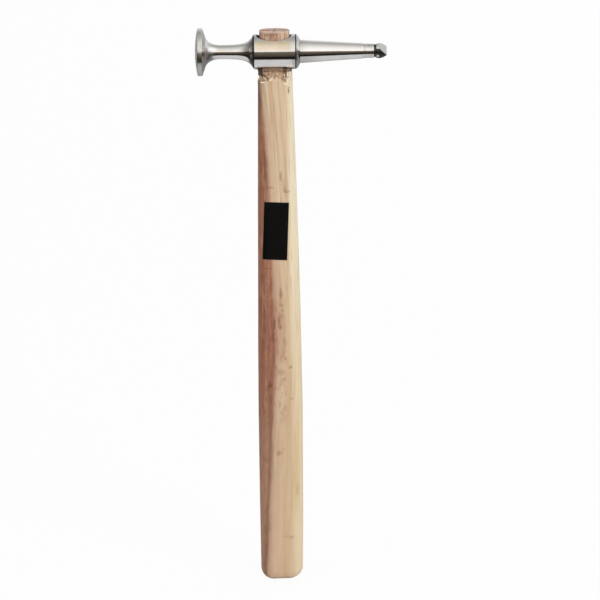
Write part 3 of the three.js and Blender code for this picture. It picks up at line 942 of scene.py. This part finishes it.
def profile_through(start, *runs):
    """A profile of Bezier curves, each on from the last one's end. A run is the number of its rows,
    and the points it bends towards, of which the last is its end. The curve is the sum of the n + 1
    points, each times its Bernstein share, C(n, k) t^k (1 - t)^(n - k)."""
    curves = []
    for rows, *bends in runs:
        t = np.linspace(0, 1, rows, endpoint=False)[:, None]
        n = len(bends)
        shares = [math.comb(n, k) * t ** k * (1 - t) ** (n - k) for k in range(n + 1)]
        curves.append(sum(share * np.array(point) for share, point in zip(shares, [start, *bends])))
        start = bends[-1]
    return np.concatenate([*curves, [start]])


def head_profile():
    """The head's outline as distance along the head and radius, from the face's middle to the
    bottom of the bore that holds the chisel."""
    fillet_box = ((disc_back, neck_radius), (neck_start, fillet_radius))
    flare_box = ((neck_end, neck_radius), (barrel_face_end, barrel_radius))
    cone_box = ((barrel_shank_end, barrel_radius), (shank_start, shank_root_radius))
    fillet_bends = [part_way(*fillet_box, shares) for shares in ((0.08, 0.47), (0.33, 0.07))]
    flare_bends = [part_way(*flare_box, shares) for shares in ((0.53, 0.03), (0.86, 0.1))]
    face_radius = disc_radius - rim_round
    left, right = barrel_face_end, barrel_shank_end
    low, high = barrel_radius - barrel_bevel, barrel_radius
    return profile_through(
        (crown, face_middle),
        (26, (crown, face_radius / 2), (rim_front, face_radius)),
        (8, (rim_front, disc_radius), (rim_front + rim_round, disc_radius)),
        (8, (rim_back - rim_round, disc_radius)),
        (8, (rim_back, disc_radius), (rim_back, face_radius)),
        (8, (disc_back, fillet_radius)),
        (44, *fillet_bends, (neck_start, neck_radius)),
        (8, (neck_end, neck_radius)),
        (48, *flare_bends, (left, low)),
        (8, (left + 0.25, low - 0.5), (left + 0.55, high - 0.12)),
        (5, (left + 0.62, high), (left + 0.9, high)),
        (48, (right - 3.0, high)),
        (14, (right - 1.2, high), (right - 0.9, high - 0.14)),
        (6, (right - 0.3, high - 0.3), (right - 0.15, high - 0.45)),
        (6, (right, low - 0.25), (right + 0.15, low - 0.15)),
        (16, part_way(*cone_box, (0.56, 0.42)), (shank_start, shank_root_radius)),
        (60, (shank_end - 0.1, shank_end_radius)),
        (5, (shank_end, shank_end_radius), (shank_end, collar_radius)),
        (16, (collar_end - collar_round, collar_radius)),
        (6, (collar_end, collar_radius), (collar_end, collar_radius - collar_round)),
        (4, (collar_end, bore_radius)),
        (8, (collar_end - bore_depth, bore_radius)),
    )


def turned(profile, columns, waves=0.0):
    """A profile turned about the head's axis: (x, r cos a, axis + r sin a). The polishing wheel
    has taken a hair more off in soft waves."""
    angles = np.linspace(0, 2 * np.pi, columns, endpoint=False)[None, :]
    along, radius = profile[:, :1], profile[:, 1:]
    rows = (along - crown) / (collar_end - crown + waves_past_collar) * np.ones_like(angles)
    columns = angles / (2 * np.pi) * np.ones_like(rows)
    radius = radius - waves * np.abs(lattice_noise(12, rows, columns, 6, 22))
    return np.stack([
        along * np.ones_like(angles),
        radius * np.cos(angles),
        axis_height + radius * np.sin(angles),
    ], axis=-1)


def eye_space():
    """The oval eye through the barrel, with a small chamfer at its upper mouth, a quarter as wide at
    the sides, whose height follows the barrel: sqrt(R^2 - y^2), where y^2 is held at 90. The ends
    are flat and clear of the barrel."""
    over = 2.0
    angles = np.linspace(0, 2 * np.pi, 160, endpoint=False)
    rings = []

    def add_ring(heights, grow=0.0, sunk=0.0):
        side_grow = grow if grow > eye_chamfer else grow / 4
        x, y = oval(angles, eye_length / 2 + grow, eye_half_width(heights) + side_grow)
        if grow or sunk:
            heights = axis_height + np.sqrt(barrel_radius ** 2 - np.minimum(y ** 2, 90)) - sunk
        rings.append(np.stack([x - eye_shift, y, heights * np.ones_like(x)], axis=-1))

    for height in (-barrel_radius - over, -barrel_radius, -barrel_radius / 2, 0.0):
        add_ring(axis_height + height)
    add_ring(axis_height, sunk=eye_chamfer)
    add_ring(axis_height, grow=eye_chamfer)
    add_ring(axis_height, grow=eye_chamfer + over)
    rings[-1][:, 2] = axis_height + barrel_radius + over
    return closed_grids("eye", [np.array(rings)])


head = closed_grids("turned_head", [turned(head_profile(), head_columns, polish_waves)])
cut_away(head, eye_space())
shade(head, 32)


def most(mask, *others):
    """The greatest of several masks."""
    for other in others:
        mask = mask.math("MAXIMUM", other)
    return mask


def steel_finish(place, x, painted_darkness):
    """Polished steel: fine turned lines round the axis, faint smears, a satin disc, and the painted
    shade and dark reflections that are given to it. Gives the colour, the roughness and the height of
    the lines."""
    lines = noise(place, (0.11, 300, 300), 2.0, 0.6)
    smears = noise(place, (5, 4, 4), 3.0, 0.6, 4.0)
    specks = rise(noise(place, (0.5, 0.5, 0.5), 2.0, 0.5, 9.0), 0.68, 0.78)
    satin = window(x, rim_back + 0.4, neck_start - 3, 1.5) * 0.26
    satin = satin + rise(x, rim_front, rim_front - 0.4) * 0.3
    satin = satin + window(x, rim_front, rim_back + 0.2, 0.2) * 0.16
    colour = ramp(smears, (0.3, (0.71, 0.7, 0.68, 1)), (0.7, (0.81, 0.8, 0.78, 1)))
    colour = layered(colour, (specks, 0.25, (120, 112, 100)), (painted_darkness, 0.92, (40, 37, 34)))
    roughness = 0.03 + smears * 0.05 + lines * 0.04 + painted_darkness * 0.4 + satin
    return colour, roughness, lines


def head_coordinates():
    """Object coordinates, X and Y in millimetres, and the height above the head's axis."""
    place = Socket.node("TexCoord", outlet="Object")
    x, y, z = [axis * metre for axis in axes(place)]
    return place, x, y, z - axis_height


new_material(head)
place, x, y, above = head_coordinates()
eye_half = eye_width / 2 - (above / -barrel_radius).math("MAXIMUM", 0.0) * (eye_taper / 2)
from_eye = ((x + eye_shift) / (eye_length / 2)).math("ABSOLUTE").math("POWER", oval_power)
from_eye = from_eye + (y / eye_half).math("ABSOLUTE").math("POWER", oval_power)
# Painted shade in the grooves at the barrel's ends, at the step onto the shank, in the fine lines
# round the collar and round the eye's mouth.
painted_darkness = most(
    window(x, barrel_face_end - 0.5, barrel_face_end + 0.5, 0.15),
    window(x, barrel_shank_end - 1.0, barrel_shank_end - 0.15, 0.1),
    window(x, shank_start - 0.2, shank_start + 0.1, 0.12) * 0.5,
    *[window(x, shank_end + cut - 0.12, shank_end + cut + 0.12, 0.1) * (0.5 - cut * 0.06)
      for cut in collar_cuts],
    rise(from_eye, 1.025, 1.005),
)
# Painted shade in the corners: on the disc's back, darker towards its lower side, and at the end of
# the flare against the barrel.
corner = most(
    window(x, rim_back + 0.2, disc_back + 0.2, 0.6) * (0.45 + 0.55 * rise(above, 0.5, -2.5)),
    window(x, barrel_face_end - 2.4, barrel_face_end + 0.4, 1.2),
)
on_barrel = window(x, barrel_face_end + 1.2, barrel_shank_end - 3.6, 1.1)
under_barrel = window(x, barrel_face_end + 1.2, barrel_shank_end - 2.0, 0.6)
# Painted reflections on the barrel's underside over the handle: a dark strip at the very bottom for
# the shaded shoulder that the steel mirrors, and above it a pale, less metallic band where it mirrors
# the wood.
below = rise(above, -7.8, -8.6) * under_barrel
pale_mirrored_band = window(above, -8.0, -6.4, 0.3) * under_barrel
# Painted dark reflection on the lower half of the rim and of the barrel's end towards the shank,
# fading out along the shank.
lower_dark_reflection = window(x, rim_front, rim_back + 0.2, 0.3)
lower_dark_reflection = (lower_dark_reflection + rise(x, barrel_shank_end - 3.4, barrel_shank_end - 2.4)).math("MINIMUM", 1.0)
lower_dark_reflection = lower_dark_reflection * rise(above, -1.0, -3.0) * rise(x, shank_start + 18, shank_start)
# Painted darker reflection on the top of the cone between the barrel and the shank.
cone_top_reflection = window(x, barrel_shank_end, shank_start - 0.3, 0.2) * rise(above, 4.6, 7.5)
# Painted bluish-grey reflection on the lower side of the fillet behind the disc.
under_fillet_reflection = window(x, disc_back + 0.4, disc_back + 5.0, 1.0) * rise(above, -0.5, -2.5)
turned_marks = noise(place, (0.5, 2.5, 2.5), 3.0, 0.65, 15.0)
worn = window(x, shank_end + 0.1, collar_end, 0.2) + window(x, rim_front + 0.3, rim_back, 0.2) * 0.7
worn = worn * rise(turned_marks, 0.44, 0.62)
# Painted highlight on the upper half of the shank and the collar.
bright = rise(x, shank_start, shank_start + 5) * rise(above, 0.2, 1.2)
# Painted cream reflection in a narrow band just above the middle of the neck.
neck_cream_reflection = window(above, 0.9, 2.3, 0.4) * window(x, neck_start, neck_end, 1.5)
ground_face = 0.6 - window(above, -5.2, -1.2, 1.5) * 0.35
ground_face = rise(x, rim_front - 0.15, rim_front - 0.6) * ground_face
colour, roughness, lines = steel_finish(place, x, painted_darkness)
colour = layered(
    colour,
    (corner, 0.55, (92, 86, 84)),
    (lower_dark_reflection, 0.3, (60, 56, 56)),
    (cone_top_reflection, 0.3, (90, 90, 90)),
    (bright, 0.65, (252, 250, 248)),
    (neck_cream_reflection, 0.45, (226, 214, 172)),
    (under_fillet_reflection, 0.7, (118, 122, 132)),
    (worn, 0.4, (112, 108, 98)),
    (pale_mirrored_band, 0.6, (240, 240, 246)),
    (below, 0.9, (90, 72, 58)),
)
# Painted cream reflection over the upper barrel, yellower in patches, multiplied into its colour.
barrel_top_reflection = on_barrel * window(above, 2.9, 8.0, 0.6)
yellow = window(above, 6.1, 7.4, 1.0) * rise(noise(place, (6, 5, 5), 1.0, 0.5, 2.0), 0.38, 0.62)
tint = blend(yellow, paint(255, 238, 218), paint(252, 240, 190))
colour = blend(barrel_top_reflection * 0.95, colour, blend(1.0, colour, tint, "MULTIPLY"))
metal = 1.0 - pale_mirrored_band * 0.6 - ground_face
finish_with(
    {"Base Color": colour, "Metallic": metal, "Roughness": roughness},
    bump=lines,
    bump_depth=0.000004,
)
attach(head, "root")
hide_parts("hammer_head")


# The chisel. A hardened tip with a spigot, pressed into the shank's bore up to a dark groove, with
# two bevels ground to a short cross edge that is turned out of line with the handle.
tip_low, tip_high = [np.array(corner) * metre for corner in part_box("chisel_tip")]
chisel_end = tip_high[0]
spigot_radius = 2.5
spigot_round = 0.3
seat_gap = 0.05
undercut_radius = collar_radius - 0.5
undercut_end = collar_end + 1.3
groove_round = 0.15
stub_length = 0.8
stub_radius = collar_radius + 0.38
edge_land = 0.35
bevel_slope = math.tan(math.radians(40))
edge_turn = math.radians(22)
corner_power = 40.0
bevel_start = undercut_end + stub_length
tip_columns = 360


def chisel_surface():
    """The tip's rows along X. A bevel is a plane at a distance d(x) from the axis, so it limits the
    radius to d / |cos a|, and (r^-40 + limit^-40)^(-1/40) takes the lesser with a slightly worn
    corner between them."""
    shoulder = collar_end + seat_gap
    profile = profile_through(
        (tip_low[0], spigot_radius - spigot_round),
        (3, (tip_low[0] + spigot_round, spigot_radius)),
        (10, (shoulder, spigot_radius)),
        (4, (shoulder, undercut_radius)),
        (8, (undercut_end, undercut_radius)),
        (3, (undercut_end, collar_radius - groove_round)),
        (3, (undercut_end + groove_round, collar_radius)),
        (90, (bevel_start, collar_radius), (bevel_start, stub_radius), (chisel_end, stub_radius)),
    )
    angles = np.linspace(0, 2 * np.pi, tip_columns, endpoint=False)[None, :]
    along, radius = profile[:, :1], profile[:, 1:]
    facing = np.abs(np.cos(angles - edge_turn - np.pi / 2)) + 1e-4
    limit = (edge_land / 2 + (chisel_end - along) * bevel_slope) / facing
    radius = (radius ** -corner_power + limit ** -corner_power) ** (-1 / corner_power)
    return np.stack([
        along * np.ones_like(angles),
        radius * np.cos(angles),
        axis_height + radius * np.sin(angles),
    ], axis=-1)


tip = closed_grids("cross_chisel", [chisel_surface()])
shade(tip, 25)

new_material(tip)
place, x, y, above = head_coordinates()
off_edge = (above * math.cos(edge_turn) - y * math.sin(edge_turn)).math("ABSOLUTE")
ground = rise(off_edge + (x - chisel_end) * bevel_slope - edge_land / 2, -0.16, -0.08)
# Painted dark reflection on the tip's flank below its bevels, left out at a spot low down near the
# groove where the flank shows bright. With the groove's painted shade it goes into the tip's finish.
flank_bright_spot = window(x, undercut_end + 0.3, undercut_end + 1.6, 0.3) * window(above, -3.3, -1.7, 0.4)
dark_flank_reflection = rise(x, undercut_end - 0.1, undercut_end + 0.1) * (1 - ground) * rise(above, 2.4, 1.7)
dark_flank_reflection = dark_flank_reflection * (1 - flank_bright_spot * 0.8)
painted_darkness = most(window(x, collar_end - 1.0, undercut_end + 0.1, 0.15), dark_flank_reflection)
colour, roughness, lines = steel_finish(place, x, painted_darkness)
scratches = noise(place, (1.5, 0.12, 0.3), 2.0, 0.6, 6.0)
ground_tone = tones(scratches, (0.3, 186, 186, 186), (0.7, 216, 216, 215))
colour = blend(ground, colour, ground_tone)
finish_with(
    {"Base Color": colour, "Metallic": 1.0 - ground * 0.35, "Roughness": roughness + ground * 0.3},
    bump=lines + ground * scratches,
    bump_depth=0.000006,
)
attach(tip, "root")
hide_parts("chisel_tip")


# The wooden wedge. A thin taper of darker hardwood, driven into the tenon's saw kerf and sawn off
# flush with its top, which shows its crushed end grain.
wedge_rows = 40
wedge_columns = 96


def wedge_surface(size, half_length, middle, crossing, squareness):
    """A wedge from its toe to its top. Its section is |x/a|^n + |y/b|^n = 1 with a high n, a
    rectangle with softened corners. The top's edge is a little crushed."""
    share = np.linspace(0, 1, wedge_rows)[:, None]
    top = tenon_top - size["sink"]
    heights = top - size["depth"] * (1 - share)
    half_thickness = (size["toe"] + (size["thickness"] - size["toe"]) * share) / 2
    angles = np.linspace(0, 2 * np.pi, wedge_columns, endpoint=False)[None, :]
    squeeze = np.abs(np.cos(angles)) ** squareness + np.abs(np.sin(angles)) ** squareness
    squeeze = squeeze ** (-1 / squareness)
    long_way = half_length(heights) * squeeze * np.cos(angles)
    thin_way = half_thickness * squeeze * np.sin(angles)
    if crossing:
        long_way, thin_way = -thin_way, long_way
    rows, columns = share * np.ones_like(angles), angles / (2 * np.pi) * np.ones_like(share)
    crush = lattice_noise(31, rows, columns, 28, 8)
    heights = heights - crush_depth * np.abs(crush) * share ** 12
    return np.stack([long_way + middle(heights), thin_way, heights * np.ones_like(angles)], axis=-1)


wood_wedge = closed_grids("tenon_wedge", [wedge_surface(
    wedge_sizes["wood"],
    lambda heights: tenon_size(heights)[0] - 0.05,
    lambda heights: tenon_size(heights)[1],
    False,
    14.0,
)])
cut_away(wood_wedge, slot_block(wedge_sizes["steel"], True))
shade(wood_wedge, 40)

new_material(wood_wedge)
place = Socket.node("TexCoord", outlet="Object")
rings = noise(place, (1.8, 0.4, 14), 3.0, 0.6, 8.0)
colour = tones(rings, (0.3, 112, 76, 50), (0.5, 150, 108, 76), (0.7, 186, 144, 108))
finish_with({"Base Color": colour, "Roughness": 0.6 + rings * 0.15}, bump=rings, bump_depth=0.0002)
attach(wood_wedge, "root")
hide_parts("wooden_wedge")


# The steel wedge. A short taper of dark rolled steel, driven across the wooden one a hair below
# the tenon's top, which it spreads the other way.
steel_wedge = closed_grids("crossing_wedge", [wedge_surface(
    wedge_sizes["steel"],
    lambda heights: wedge_sizes["steel"]["length"] / 2 * np.ones_like(heights),
    lambda heights: np.zeros_like(heights),
    True,
    18.0,
)])
shade(steel_wedge, 40)

new_material(steel_wedge)
place = Socket.node("TexCoord", outlet="Object")
scale = noise(place, (1.2, 1.2, 1.2), 4.0, 0.65)
colour = tones(scale, (0.35, 140, 118, 102), (0.5, 166, 154, 144), (0.7, 184, 180, 176))
finish_with(
    {"Base Color": colour, "Metallic": rise(scale, 0.52, 0.66), "Roughness": 0.45 + scale * 0.3},
    bump=scale,
    bump_depth=0.00008,
)
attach(steel_wedge, "root")
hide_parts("steel_wedge")


# The label. A thin strip of black plastic film, left bare, stuck on the front of the grip a hand's
# breadth below the head. It leans a little and follows the wood.
label_width = 14.95
label_length = 36.1
label_thickness = 0.12
label_lift = 0.1
label_wrinkle = 0.03
label_shift = -0.38
label_middle = axis_height - 109.7
label_turn = math.radians(2.4)
label_columns = 40
label_rows = 90


def grip_front(across, heights):
    """Y of the grip's front at these X: the angle is stepped until the outline's X fits."""
    angles = np.arctan2(-butt_depth / 2, across)
    for _ in range(8):
        x, y = grip_at(angles, heights)
        angles = angles - (across - x) / y
    return y


def label_sheet():
    """The label's underside: a leaning rectangle laid on the grip's front, with faint wrinkles."""
    u, v = np.meshgrid(np.linspace(-0.5, 0.5, label_columns), np.linspace(-0.5, 0.5, label_rows))
    across = u * label_width * math.cos(label_turn) + v * label_length * math.sin(label_turn)
    height = v * label_length * math.cos(label_turn) - u * label_width * math.sin(label_turn)
    x, z = across + label_shift, height + label_middle
    wrinkles = lattice_noise(41, v + 0.5, (u + 0.5) * 0.9, 6, 9)
    y = grip_front(x, z) - label_lift - label_wrinkle * wrinkles
    return np.stack([x, y, z], axis=-1)


points = label_sheet()
here = np.arange(label_rows * label_columns).reshape(label_rows, label_columns)
quads = np.stack([here[:-1, :-1], here[:-1, 1:], here[1:, 1:], here[1:, :-1]], axis=-1)
label = new_piece("bare_label", points.reshape(-1, 3), quads.reshape(-1, 4).tolist())
film = label.modifiers.new("thickness", "SOLIDIFY")
film.thickness = label_thickness / metre
film.offset = 1.0
shade(label, 40)

new_material(label)
place = Socket.node("TexCoord", outlet="Object")
film_grain = noise(place, (0.25, 0.25, 0.25), 2.0, 0.5)
dust = rise(noise(place, (0.7, 0.7, 1.4), 3.0, 0.6, 5.0), 0.56, 0.72)
colour = blend(dust * 0.3, paint(4, 4, 5), paint(24, 24, 26))
finish_with(
    {"Base Color": colour, "Roughness": 0.34 + dust * 0.2, "IOR": 1.45},
    bump=film_grain,
    bump_depth=0.00001,
)
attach(label, "root")
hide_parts("blank_label")
